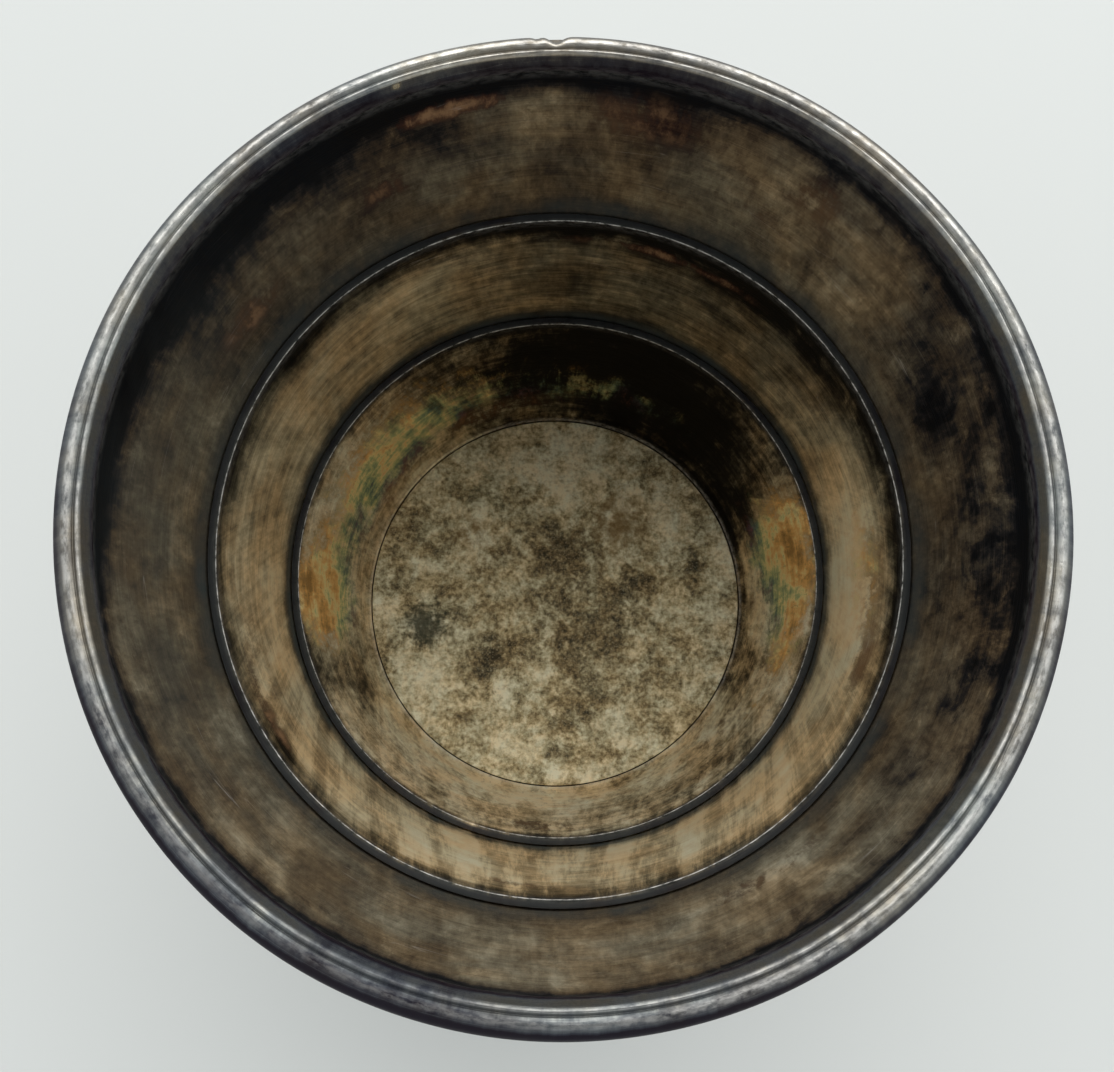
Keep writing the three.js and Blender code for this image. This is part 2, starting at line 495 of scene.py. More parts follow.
def tarnish_level(n, noises, blotch, grain, fleck, islands, sweep):
    """Thickness of the tarnish: the painted field with noise on it, calmer on the outside, and painted
    sheen as light and dark streaks up the wall.
    """
    ragged = noises["ragged"]
    island = n.plus(n.spread(ragged, 0.56, 0.60), n.spread(ragged, 0.39, 0.43, -1.0, 0.0))
    # Painted sheen: light and dark streaks up the wall stand in for the brushed metal's stretched
    # highlights.
    sheen_streaks = n.spread(noises["lights"], 0.40, 0.60, 0.5 * sweep, -0.5 * sweep)
    uneven = n.plus(
        n.swing(noises["cloud"], blotch),
        n.swing(noises["smear"], grain),
        n.swing(noises["flecks"], fleck),
        n.times(island, islands),
        n.times(n.swing(ragged, 2.2), n.attribute("torn")),
        n.times(sheen_streaks, n.attribute("sweep")),
    )
    calm = n.spread(n.attribute("outer"), 0.0, 1.0, 1.0, 0.35)
    return n.plus(n.attribute("tarnish"), n.times(uneven, calm), n.swing(noises["brush"], 0.20))


def tarnish_colour(n, noises, tarnish, stops):
    """Colour of the tarnish, with a warm or cool tint that drifts, and steelier on the outside."""
    colour = n.ramp(tarnish, stops)
    cast = n.mix(n.spread(noises["drift"], 0.36, 0.64), COOL_CAST, WARM_CAST)
    colour = n.mix(1.0, colour, cast, "MULTIPLY")
    return n.mix(n.times(n.attribute("outer"), 0.6), colour, n.ramp(tarnish, STEEL_TARNISH))


def add_copper(n, noises, colour):
    """Bare copper-brown patches with a red-brown fringe."""
    copper = n.attribute("copper")
    room = n.spread(copper, 0.06, 0.30)
    edge = n.plus(
        copper,
        n.swing(noises["cloud"], 1.4),
        n.swing(noises["flecks"], 1.2),
        n.swing(noises["ragged"], 0.8),
    )
    colour = n.mix(n.times(n.times(n.spread(edge, 0.10, 0.36), room), 0.6), colour, RED_BROWN)
    return n.mix(n.times(n.times(n.spread(edge, 0.26, 0.66), room), 0.8), colour, COPPER)


def add_film(n, place, noises, colour):
    """Patches of thin coloured film, thicker toward the bottom of the cup."""
    bloom = n.attribute("bloom")
    flecks = noises["flecks"]
    thickness = n.spread(place.height, 6.0, 24.0, 0.78, 0.14)
    film = n.plus(
        thickness,
        n.swing(noises["smear"], 0.7),
        n.swing(flecks, 0.5),
        n.swing(noises["cloud"], 1.5),
    )
    edge = n.plus(
        bloom,
        n.swing(flecks, 0.8),
        n.swing(noises["ragged"], 1.2),
        n.swing(noises["lights"], 0.8),
    )
    amount = n.times(n.spread(edge, 0.20, 0.75), n.spread(bloom, 0.0, 0.3))
    return n.mix(amount, colour, n.ramp(film, BLOOM))


def scratches(n, place, tarnish):
    """Fine scratches: where a slow noise crosses one value, here and there, on thin tarnish."""
    field = n.noise(place.along(34.0, 2.2), 1.0, 2.0, 0.5, 0.2)
    off_line = n.maths("ABSOLUTE", n.maths("SUBTRACT", field, 0.53), 0.0)
    room = n.spread(n.noise(place.along(9.0, 5.0), 1.0, 2.0), 0.52, 0.62)
    scratch = n.times(n.spread(off_line, 0.0, 0.004, 1.0, 0.0), room)
    return n.times(scratch, n.spread(tarnish, 0.6, 0.9, 1.0, 0.1))


def tarnished(name, stops, glint, metal, blotch, grain, fleck, gloss, islands=0.0, sweep=0.0,
              speck=0.0, smear_size=(6.0, 1.1), rub_size=(0.8, 0.4), rub_amount=0.8,
              specular=PLATE_SPECULAR, flat=False):
    """Silver plate: brushed grain, patchy tarnish with painted sheen streaks, rubbed edges, and
    darkening toward black in corners and seams.
    """
    n = Nodes(name)
    place = Place(n)
    noises = plate_noises(n, place, smear_size, flat)
    cloud, smear, brush = noises["cloud"], noises["smear"], noises["brush"]
    tarnish = tarnish_level(n, noises, blotch, grain, fleck, islands, sweep)
    colour = tarnish_colour(n, noises, tarnish, stops)
    colour = add_copper(n, noises, colour)
    colour = add_film(n, place, noises, colour)
    # Blue-grey veil: haze on the tarnish, and painted shade in the bands over the joints and on the cut
    # edges.
    haze_shade_amount = n.times(n.attribute("haze"), n.spread(cloud, 0.25, 0.6))
    colour = n.mix(haze_shade_amount, colour, BLUE_HAZE_SHADE)

    rub = n.noise(place.along(*rub_size), 1.0, 8.0, 0.68)
    worn = n.times(n.times(n.attribute("wear"), n.spread(rub, 0.34, 0.64)), rub_amount)
    colour = n.mix(worn, colour, BARE_SILVER)
    scratch = scratches(n, place, tarnish)
    colour = n.mix(n.times(scratch, 0.18), colour, BARE_SILVER)

    # Darker toward black in seams, corners and recesses between parts.
    recess_darkening = n.spread(n.plus(n.attribute("dark_in_recesses"), n.swing(cloud, 0.7)), 0.25, 0.75)
    colour = n.mix(recess_darkening, colour, NEAR_BLACK)
    if speck:
        spots = n.spread(n.noise(place.along(0.6, 1.4), 1.0, 5.0, 0.62), 0.58, 0.68)
        colour = n.mix(n.times(spots, speck), colour, NEAR_BLACK)

    outer = n.attribute("outer")
    rough = n.plus(
        n.spread(tarnish, 0.1, 0.95, gloss, gloss + 0.20),
        n.swing(brush, 0.18),
        n.swing(smear, 0.12),
        n.times(worn, -0.10),
        n.times(recess_darkening, 0.3),
        n.times(outer, -0.08),
    )
    relief = n.plus(brush, n.times(noises["flecks"], 0.8), n.times(smear, 0.9), n.times(scratch, -0.8))
    oxide = n.plus(tarnish, n.times(recess_darkening, 0.5), n.times(worn, -0.6))
    clean_metal = n.spread(outer, 0.0, 1.0, metal, OUTSIDE_METAL)
    metallic = n.spread(oxide, 0.45, 0.90, clean_metal, OXIDE_METAL)
    return metal_surface(n, colour, rough, relief, glint, metallic, specular=specular)


def speckled(name):
    """The cup's floor: matt plate, pale, with dense dark spots and stains."""
    n = Nodes(name)
    place = Place(n)
    cloud = n.noise(place.point, 0.20, 6.0, 0.60, 0.5)
    mottle = n.noise(place.point, 0.62, 8.0, 0.64, 0.3)
    spots = n.noise(place.point, 1.9, 6.0, 0.66, 0.1)
    grains = n.noise(place.point, 4.2, 4.0, 0.6)
    drift = n.noise(place.point, 0.30, 8.0, 0.72, 0.4)
    tarnish = n.plus(
        n.attribute("tarnish"),
        n.swing(cloud, 1.7),
        n.swing(mottle, 1.1),
        n.swing(spots, 1.5),
        n.spread(mottle, 0.38, 0.42, -0.10, 0.0),
    )
    colour = n.ramp(tarnish, FLOOR_TARNISH)
    colour = n.mix(n.times(n.spread(grains, 0.54, 0.68), 0.45), colour, FLOOR_GRAIN)
    cast = n.mix(n.spread(drift, 0.38, 0.62), GREEN_CAST, OCHRE_CAST)
    colour = n.mix(1.0, colour, cast, "MULTIPLY")
    rust = n.spread(n.plus(n.attribute("copper"), n.swing(mottle, 1.4)), 0.35, 0.85)
    colour = n.mix(n.times(rust, 0.75), colour, FLOOR_RUST)
    green = n.spread(n.plus(n.attribute("bloom"), n.swing(mottle, 1.4)), 0.35, 0.9)
    colour = n.mix(n.times(green, 0.7), colour, FLOOR_GREEN)
    stain = n.plus(n.attribute("haze"), n.swing(mottle, 1.5), n.swing(spots, 1.0))
    colour = n.mix(n.times(n.spread(stain, 0.25, 1.0), 0.85), colour, FLOOR_STAIN)
    chalk = n.spread(n.plus(n.attribute("wear"), n.swing(spots, 1.2)), 0.5, 0.9)
    colour = n.mix(chalk, colour, FLOOR_CHALK)
    # Darker toward black in the seam round the floor's edge.
    recess_darkening = n.spread(n.plus(n.attribute("dark_in_recesses"), n.swing(mottle, 0.8)), 0.3, 0.8)
    colour = n.mix(recess_darkening, colour, NEAR_BLACK)
    rough = n.spread(tarnish, 0.0, 1.0, 0.58, 0.75)
    relief = n.plus(n.times(mottle, 2.0), spots)
    return metal_surface(n, colour, rough, relief, WARM_GLINT, FLOOR_METAL, FLOOR_RELIEF_DEPTH)


# ---------------------------------------------------------------- rim moulding

COLLAR_DROP = 1.7


def rim_profile():
    """Section of the moulding: outer shoulder, reed, bead, and the collar's inner face."""
    crest = rim.top
    widest = rim.radius
    skirt = rim.bottom
    seat_low = top_ring.outside(skirt) + RIM_SEAT_GAP
    seat_high = top_ring.outside(crest - COLLAR_DROP) + RIM_SEAT_GAP
    outer = spline([
        (seat_low + 0.35, skirt, 0.0, 0.5),
        (widest - 0.5, crest - 4.15, 0.0, 0.2),
        (widest, crest - 2.9, 0.0, 0.0),
        (widest - 0.32, crest - 1.5, 0.0, 0.0),
        (widest - 1.05, crest - 0.62, 0.0, 0.1),
    ], 8)[:-1]
    reed = spline([
        (widest - 1.05, crest - 0.62, 0.0, 0.1),
        (widest - 1.22, crest - 0.26, 0.15, 0.0),
        (widest - 1.56, crest - 0.12, 0.9, 0.0),
        (widest - 1.88, crest - 0.22, 0.1, 0.0),
        (widest - 2.02, crest - 0.34, 0.0, 0.16),
    ], 5)[:-1]
    bead = spline([
        (widest - 2.02, crest - 0.34, 0.0, 0.16),
        (widest - 2.14, crest - 0.18, 0.0, 0.0),
        (widest - 2.34, crest - 0.02, 0.75, 0.0),
        (widest - 2.54, crest - 0.16, 0.0, 0.0),
        (widest - 2.64, crest - 0.42, 0.0, 0.0),
        (widest - 2.76, crest - 1.00, 0.0, 0.0),
        (widest - 2.84, crest - 1.58, 0.1, 0.0),
    ], 5)
    under = [
        (widest - 2.83, crest - 1.68, 0.1, 0.2),
        (widest - 2.76, crest - COLLAR_DROP, 0.0, 0.9),
        (seat_high, crest - COLLAR_DROP, 0.0, 1.0),
        (seat_low, skirt + 0.2, 0.0, 1.0),
        (seat_low + 0.06, skirt, 0.0, 0.8),
    ]
    return [(seat_low + 0.2, skirt, 0.0, 0.7)] + outer + reed + bead + under


def rim_bend(angle, radius, height):
    """Old dents in the moulding, and the notch knocked into its crest."""
    share = np.clip((height - rim.bottom) / (rim.top - rim.bottom), 0, 1)
    dents = 0.24 * turn_bump(angle, 184, 26) + 0.10 * turn_bump(angle, 92, 16)
    wobble = 0.03 * ripple(angle, 0 * height, 11, 12)
    outer = np.clip((radius - (rim.radius - 2.2)) / 1.2, 0, 1)
    notch = turn_bump(angle, 91.0, 1.0) * outer * (share > 0.6)
    nick = turn_bump(angle, 93.4, 0.5) * outer * (share > 0.6)
    inward = dents + np.maximum(wobble + 0.06, 0) + 0.45 * notch + 0.12 * nick
    return -inward * share, -0.22 * notch - 0.08 * nick


def rim_paint(angle, radius, height):
    """Dark at the collar's foot and on the front of the outer shoulder, with one pale chip."""
    depth = rim.top - height
    inset = rim.radius - radius
    collar = (inset > 2.6) * np.clip(depth / 0.4, 0, 1)
    collar_tone = 0.02 + 0.30 * turn_bump(angle, 100, 55) - 0.10 * turn_bump(angle, 325, 50)
    lip = np.clip((depth - 0.9) / 0.6, 0, 1) * collar
    lip_tone = 0.22 + 0.50 * turn_bump(angle, 0, 32) + 0.22 * turn_bump(angle, 272, 34)
    lip_tone = lip_tone + 0.40 * turn_bump(angle, 255, 75) * bump(depth, COLLAR_DROP, 0.5)
    edge = np.clip((1.0 - inset) / 0.4, 0, 1)
    shoulder = edge * (1 - 0.85 * np.clip((depth - 1.7) / 1.6, 0, 1))
    shoulder_tone = 0.42 * turn_bump(angle, 262, 95) - 0.12 * turn_bump(angle, 95, 70)
    front_reed = np.clip((1.9 - inset) / 0.3, 0, 1) * (depth < 1.5)
    front_tone = 0.20 * turn_bump(angle, 243, 62)
    chip = collar * turn_bump(angle, 112.0, 0.4) * bump(depth, 0.5, 0.2)
    tarnish = 0.58 + 0.05 * ripple(angle, height, 12) - 1.6 * chip
    tarnish = tarnish + collar * collar_tone + lip * lip_tone
    tarnish = tarnish + 0.06 * edge + shoulder * shoulder_tone + front_reed * front_tone
    tarnish = tarnish + patches(angle, depth, [
        (250, 1.0, 40, 2.0, 0.12),
        (322, 1.0, 38, 2.0, -0.10),
        (188, 1.0, 30, 2.0, -0.08),
        (90, 0.3, 60, 0.6, -0.10),
    ])
    return {"tarnish": tarnish, "rubbed": 1 - 0.8 * turn_bump(angle, 240, 45)}


def rim_piece():
    return turned("rim_moulding_plate", rim_profile(), rim_paint, rim_bend, RIM_TURNS)


# ---------------------------------------------------------------- rings

# Width in millimetres of the break on every sheet edge, and how dark the cut top edges are, with
# tarnish and a painted dark reflection of the ceiling.
EDGE = 0.09
CUT_EDGE_TARNISH_AND_SHADE = 0.96
CUT_EDGE_HAZE_AND_SHADE = 0.28
OUTSIDE_TARNISH = 0.40
WALL_ROWS = 48


def ring_profile(ring):
    """Section of a plain ring: bottom edge, outside, top edge, inside."""
    low = ring.bottom
    high = ring.top
    out_low = ring.outside(low)
    out_high = ring.outside(high)
    in_low = ring.inside(low)
    in_high = ring.inside(high)
    rows = [
        (in_low + EDGE, low, 0.4, 0.0),
        (in_low + SHEET / 2, low, 0.2, 0.0),
        (out_low - EDGE, low, 0.5, 0.0),
        (out_low - EDGE * 0.3, low + EDGE * 0.3, 0.6, 0.0),
    ]
    outside_foot = (ring.outside(low + 1), low + 1, 0.0, 0.0)
    inside_head = (ring.inside(high - 1), high - 1, 0.0, 0.0)
    rows += straight((out_low, low + EDGE, 0.6, 0.0), outside_foot, 4)
    rows += straight(outside_foot, (out_high, high - EDGE, 0.0, 0.3), WALL_ROWS)
    rows += [
        (out_high, high - EDGE, 0.0, 0.5),
        (out_high - EDGE * 0.3, high - EDGE * 0.3, 0.1, 0.2),
        (out_high - EDGE, high, 0.0, 0.0),
        (out_high - SHEET / 2, high, 0.0, 0.0),
        (in_high + EDGE, high, 0.05, 0.0),
        (in_high + EDGE * 0.35, high - EDGE * 0.3, 1.0, 0.0),
        (in_high, high - EDGE, 0.3, 0.0),
    ]
    rows += straight((in_high, high - EDGE * 2, 0.1, 0.3), inside_head, 4)
    rows += straight(inside_head, (in_low, low + EDGE, 0.0, 0.0), WALL_ROWS)
    rows += [
        (in_low, low + EDGE, 0.5, 0.0),
        (in_low + EDGE * 0.3, low + EDGE * 0.3, 0.7, 0.0),
    ]
    return rows


def is_inside(ring, radius, height):
    """True on the half of the sheet that faces the drink."""
    return radius < ring.inside(height) + SHEET / 4


def paint_ring(ring, inner, outer_seed):
    """Fields of a ring: the given ones inside with painted sheen streaks strongest in front, plain worn
    tarnish outside, and on the cut edge tarnish with a painted dark reflection.
    """
    def paint(angle, radius, height):
        inside = is_inside(ring, radius, height)
        cut_edge = height > ring.top - EDGE * 0.9
        outer = {"tarnish": OUTSIDE_TARNISH + 0.10 * ripple(angle, height, outer_seed)}
        # Cut edge: tarnish and a painted dark reflection, a little lighter in front.
        edge = {"tarnish": CUT_EDGE_TARNISH_AND_SHADE - 0.10 * turn_bump(angle, 275, 60), "haze": CUT_EDGE_HAZE_AND_SHADE}
        fields = inner(angle, radius, height)
        out = {
            # Painted sheen streaks, strongest on the front of the inside.
            "sweep": np.where(inside, turn_bump(angle, 272, 88), 0.0),
            "outer": np.where(inside, 0.0, 1.0),
        }
        for key in ("tarnish", "copper", "bloom", "haze", "torn"):
            wall = np.where(inside, fields.get(key, 0.0), outer.get(key, 0.0))
            out[key] = np.where(cut_edge, edge.get(key, 0.0), wall)
        return out
    return paint


def top_ring_inner(angle, radius, height):
    """Brown tarnish, black under the rim with tarnish and painted shadow, a painted shadow band above
    the middle ring, and copper showing at the back.
    """
    depth = top_ring.top - height
    tarnish = 0.54 + 0.04 * ripple(angle, height, 21)
    # Under the rim: black tarnish along the collar, and a painted soft shadow of the lip's overhang
    # below it.
    reach = 1.25 + 0.9 * turn_bump(angle, 0, 25) + 2.2 * turn_bump(angle, 145, 42)
    under_rim = (0.70 + 0.12 * turn_bump(angle, 280, 60)) * bump(depth / reach, 0, 1)
    # Painted shadow: a darker band where the middle ring's edge stands just inside this wall.
    joint_shadow = 0.10 * bump(depth, 16.6, 1.6)
    tarnish = tarnish + under_rim + joint_shadow + patches(angle, depth, [
        (150, 1.5, 36, 3.6, 0.36),
        (125, 6.0, 34, 7.0, 0.14),
        (60, 2.0, 34, 2.6, 0.20),
        (75, 5.0, 5, 1.8, 0.26),
        (4, 7.0, 26, 9.0, 0.20),
        (352, 4.5, 9, 3.0, 0.20),
        (340, 10.0, 6, 2.4, 0.16),
        (20, 9.0, 7, 4.5, 0.20),
        (300, 12.0, 22, 2.6, -0.20),
        (270, 10.0, 36, 7.0, -0.14),
        (45, 8.0, 22, 7.0, -0.08),
        (315, 5.0, 5, 1.6, -0.14),
        (226, 4.5, 7, 1.8, -0.20),
        (255, 6.0, 3, 3.0, 0.12),
        (194, 6.5, 8, 1.8, 0.16),
        (190, 9.0, 34, 9.0, -0.08),
    ])
    copper = patches(angle, depth, [
        (106, 2.8, 8, 0.9, 0.62),
        (80, 4.6, 13, 3.4, 0.22),
        (52, 5.0, 14, 3.5, 0.22),
        (115, 9.0, 12, 2.4, 0.24),
        (145, 11.0, 8, 2.0, 0.30),
        (60, 10.5, 10, 2.0, 0.16),
        (300, 12.0, 12, 1.8, 0.34),
    ])
    # Painted shade: a blue-grey band at the same height, and also a blue-grey patch on the left.
    haze = 0.45 * bump(depth, 16.6, 1.6) + patches(angle, depth, [(184, 10.0, 44, 7.0, 0.28)])
    torn = 0.25 * bump(depth, 3.0, 2.0) + patches(angle, depth, [(350, 6.0, 36, 6.0, 0.6)])
    return {"tarnish": tarnish, "copper": copper, "haze": haze, "torn": torn}


def middle_ring_inner(angle, radius, height):
    """Golden and streaked in front and darker behind, partly painted light and shade, with a ragged
    black band of tarnish and painted shadow below the edge.
    """
    depth = middle_ring.top - height
    tarnish = 0.30 + 0.03 * ripple(angle, height, 31)
    # Ragged black band below the edge: tarnish, and painted shadow under the top ring, heaviest at the
    # back.
    band = bump(depth, 0, 1.7) * (0.48 + 0.18 * turn_bump(angle, 70, 60))
    # Painted shadow: a darker band where the lower ring's edge stands just inside this wall.
    joint_shadow = 0.35 * bump(depth, 17.0, 1.2)
    tarnish = tarnish + band + joint_shadow + patches(angle, depth, [
        # The first row darkens the back and the third lightens the right side: tarnish, with painted
        # shade on the wall facing away from the window and painted light on the right.
        (68, 9.0, 62, 14.0, 0.40),
        (62, 2.6, 34, 1.6, 0.30),
        (358, 9.0, 20, 9.0, -0.38),
        (135, 9.0, 30, 9.0, -0.05),
        (25, 3.2, 22, 2.0, 0.20),
        (356, 1.0, 22, 4.2, 0.34),
        (150, 2.4, 30, 1.6, 0.24),
        (215, 2.6, 16, 1.4, 0.30),
        (170, 9.0, 30, 8.0, 0.10),
        (228, 8.0, 12, 9.0, 0.08),
        (283, 2.8, 20, 1.3, 0.16),
        (285, 9.0, 36, 9.0, -0.13),
        (335, 9.0, 16, 7.0, -0.08),
        # Painted highlight: a soft light band near the lower edge on the left.
        (195, 12.5, 16, 3.0, -0.16),
    ])
    copper = patches(angle, depth, [
        (356, 6.0, 16, 3.0, 0.26),
        (338, 5.0, 8, 2.4, 0.22),
        (200, 6.0, 12, 3.0, 0.22),
        (262, 3.6, 10, 1.0, 0.30),
        (210, 3.2, 8, 1.2, 0.40),
        (70, 2.8, 20, 0.8, 0.34),
    ])
    bloom = patches(angle, depth, [
        (358, 8.0, 15, 5.0, 0.42),
        (198, 11.0, 14, 3.0, 0.32),
    ])
    # Painted shade: a blue-grey band at the same height.
    haze = 0.7 * bump(depth, 17.1, 1.0)
    torn = bump(depth, 2.0, 1.4) * (0.25 + 0.75 * turn_bump(angle, 50, 60))
    return {"tarnish": tarnish, "copper": copper, "bloom": bloom, "haze": haze, "torn": torn}


def lower_ring_inner(angle, radius, height):
    """Mottled, nearly black at the back with tarnish and painted shade, with coloured films at the
    sides.
    """
    depth = lower_ring.top - height
    tarnish = 0.27 + 0.04 * ripple(angle, height, 41)
    # Darker just below the edge: tarnish and painted shadow under the middle ring. The first patch
    # makes the back nearly black: tarnish, and painted shade on the wall facing away from the window.
    tarnish = tarnish + 0.4 * bump(depth, 0, 0.9) + patches(angle, depth, [
        (68, 9.0, 38, 22.0, 1.00),
        (118, 8.0, 24, 14.0, 0.32),
        (30, 18.0, 20, 9.0, 0.30),
        (268, 19.0, 34, 7.0, -0.14),
        (275, 5.0, 40, 5.0, 0.10),
        (285, 6.0, 24, 5.0, 0.12),
        (204, 10.0, 8, 12.0, 0.30),
        (180, 12.0, 26, 14.0, 0.08),
        (320, 8.0, 14, 4.0, 0.16),
        (340, 19.0, 14, 5.0, 0.20),
        (12, 24.0, 42, 1.3, 0.42),
        (354, 11.0, 10, 8.0, -0.20),
    ])
    bloom = patches(angle, depth, [
        (184, 8.0, 12, 10.0, 1.00),
        (155, 13.0, 20, 10.0, 0.60),
        (130, 12.0, 22, 8.0, 0.45),
        (8, 9.0, 14, 10.0, 1.00),
        (350, 7.0, 14, 6.0, 0.65),
        (84, 15.0, 40, 5.0, 0.32),
        (322, 9.0, 12, 4.0, 0.30),
    ])
    copper = patches(angle, depth, [
        (342, 10.0, 9, 4.0, 0.42),
        (262, 5.0, 16, 3.0, 0.30),
        (110, 19.0, 34, 3.0, 0.34),
        (320, 15.0, 12, 4.0, 0.24),
    ])
    torn = 0.15 + 0.35 * turn_bump(angle, 330, 50)
    return {"tarnish": tarnish, "bloom": bloom, "copper": copper, "torn": torn}


def top_ring_piece():
    paint = paint_ring(top_ring, top_ring_inner, 22)
    return turned("top_ring_plate", ring_profile(top_ring), paint)


def edge_nicks(ring, rows):
    """Small dings in a ring's cut edge: degrees round the cup, half-angle, depth."""
    def bend(angle, radius, height):
        near = np.clip(1 - (ring.top - height) / 0.25, 0, 1)
        wave = 0.012 * (ripple(angle, 0 * height, 33, 40, 30) - 2.5)
        notches = sum(deep * turn_bump(angle, turn, half) for turn, half, deep in rows)
        return 0.0, near * (wave - notches)
    return bend


def middle_ring_piece():
    paint = paint_ring(middle_ring, middle_ring_inner, 32)
    bend = edge_nicks(middle_ring, [(35, 0.8, 0.10), (118, 0.6, 0.05), (301, 0.5, 0.06)])
    return turned("middle_ring_plate", ring_profile(middle_ring), paint, bend)


def lower_ring_piece():
    toe_top = floor_disc.top + 0.3
    cove_top = toe_top + 1.6
    low = lower_ring.bottom
    wall = [
        row for row in ring_profile(lower_ring)
        if row[1] > cove_top or row[0] > lower_ring.outside(row[1]) - SHEET * 0.4
    ]
    cove = spline([
        (lower_ring.inside(cove_top), cove_top, 0.0, 0.0),
        (lower_ring.inside(cove_top) - 0.28, toe_top + 0.55, 0.0, 0.0),
        (TOE_RADIUS + 0.12, toe_top, 0.3, 0.0),
    ], 6)
    toe = [
        (TOE_RADIUS + 0.03, toe_top - 0.04, 0.4, 0.0),
        (TOE_RADIUS - 0.04, toe_top - 0.12, 0.3, 0.2),
        (TOE_RADIUS, low + 0.05, 0.0, 1.0),
        (TOE_RADIUS + 0.05, low, 0.0, 1.0),
    ]
    paint = paint_ring(lower_ring, lower_ring_inner, 42)
    bend = edge_nicks(lower_ring, [(23, 0.9, 0.08), (200, 0.6, 0.05), (262, 0.5, 0.05)])
    return turned("lower_ring_plate", wall + cove + toe, paint, bend)


# ---------------------------------------------------------------- floor and foot

def floor_profile():
    """Section of the floor disc, from the axis below, round its edge, to the axis on top."""
    low = floor_disc.bottom
    high = floor_disc.top
    radius = floor_disc.radius
    rows = [(0, low, 0, 0)]
    rows += straight((radius / 16, low, 0, 0), (radius - EDGE, low, 0, 0), 12)
    rows += [(radius - EDGE, low, 0, 1), (radius, low + EDGE, 0, 0.8), (radius, high - EDGE, 0, 0.4)]
    rows += [(radius - EDGE * 0.3, high - EDGE * 0.3, 0, 0.3)]
    rows += straight((radius - EDGE, high, 0.2, 0.1), (radius - 0.6, high, 0.25, 0.0), 3)
    rows += straight((radius - 0.6, high, 0.25, 0.0), (radius - 3.0, high, 0.0, 0.0), 6)
    rows += straight((radius - 3.0, high, 0.0, 0.0), (0, high, 0, 0), 60)
    rows += [(0, high, 0, 0)]
    return rows


def disc_spots(angle, radius, rows):
    """Round patches on the floor: x, y and half-width as shares of its radius, and amount."""
    x = radius / floor_disc.radius * np.cos(angle)
    y = radius / floor_disc.radius * np.sin(angle)
    total = np.zeros_like(angle)
    for place_x, place_y, half_width, amount in rows:
        total = total + amount * bump(x, place_x, half_width) * bump(y, place_y, half_width)
    return total


def floor_paint(angle, radius, height):
    """Pale near the edge and in front, stained in the middle, with one dark green spot."""
    tarnish = 0.43 + disc_spots(angle, radius, [
        (0.05, 0.05, 0.42, 0.24),
        (0.05, 0.80, 0.55, -0.20),
        (-0.40, -0.42, 0.20, 0.22),
        (-0.29, -0.49, 0.07, -0.55),
        (0.25, 0.72, 0.06, -0.35),
        (0.38, 0.20, 0.06, -0.30),
        (0.70, -0.08, 0.06, -0.40),
        (0.0, -0.55, 0.25, 0.10),
        (0.0, -0.85, 0.38, -0.16),
        (-0.70, -0.55, 0.28, -0.12),
        (-0.62, 0.10, 0.30, -0.06),
        (0.75, -0.25, 0.30, -0.08),
    ])
    copper = disc_spots(angle, radius, [
        (-0.45, 0.35, 0.18, 0.6),
        (0.30, 0.30, 0.40, 0.38),
        (0.36, 0.45, 0.18, 0.4),
        (0.40, -0.36, 0.16, 0.45),
        (-0.10, -0.30, 0.25, 0.25),
    ])
    bloom = disc_spots(angle, radius, [
        (-0.40, 0.62, 0.30, 0.4),
        (0.55, 0.25, 0.35, 0.35),
        (0.10, 0.70, 0.35, 0.25),
    ])
    haze = disc_spots(angle, radius, [
        (-0.71, -0.145, 0.14, 1.10),
        (-0.30, -0.50, 0.14, 0.35),
        (0.06, 0.08, 0.30, 0.25),
    ])
    return {"tarnish": tarnish, "copper": copper, "bloom": bloom, "haze": haze}


def floor_piece():
    return turned("floor_disc_plate", floor_profile(), floor_paint)


def plate_paint(angle, radius, height):
    return {"tarnish": 0.42}


def plate_piece():
    low = base_plate.bottom
    high = base_plate.top
    radius = base_plate.radius
    ring_foot = lower_ring.outside(high)
    rows = [(0, low, 0, 0)]
    rows += straight((radius / 16, low, 0, 0), (radius - EDGE, low, 0, 0.2), 30)
    rows += [(radius - EDGE, low, 0, 0.5), (radius, low + EDGE, 0, 0.6), (radius, high - EDGE, 0, 0.6)]
    rows += straight((radius - EDGE, high, 0, 0.5), (ring_foot, high, 0, 0.6), 30)
    rows += straight((ring_foot, high, 0, 1.0), (0, high, 0, 0), 8)
    rows += [(0, high, 0, 0)]
    return turned("base_plate_plate", rows, plate_paint)


def foot_paint(angle, radius, height):
    return {"tarnish": 0.48 + 0.10 * ripple(angle, height, 71)}


def foot_piece():
    inside = base_plate.radius + 0.1
    radius = foot.radius
    belly = spline([
        (radius - 0.75, 0.0, 0.2, 0.0),
        (radius - 0.14, 0.5, 0.6, 0.0),
        (radius, 1.3, 1.0, 0.0),
        (radius - 0.2, 2.15, 0.5, 0.0),
        (radius - 0.52, 2.5, 0.0, 0.7),
    ], 6)[:-1]
    bead = spline([
        (radius - 0.52, 2.5, 0.0, 0.7),
        (radius - 0.72, foot.top - 0.22, 0.6, 0.0),
        (radius - 1.15, foot.top, 1.0, 0.0),
        (radius - 1.6, foot.top - 0.22, 0.4, 0.0),
        (inside, base_plate.top + 0.1, 0.0, 0.7),
    ], 6)
    land = [
        (inside, 0.4, 0.0, 0.8),
        (inside + 0.35, 0.0, 0.2, 0.2),
    ]
    return turned("foot_moulding_plate", belly + bead + land, foot_paint)


# ---------------------------------------------------------------- putting it together

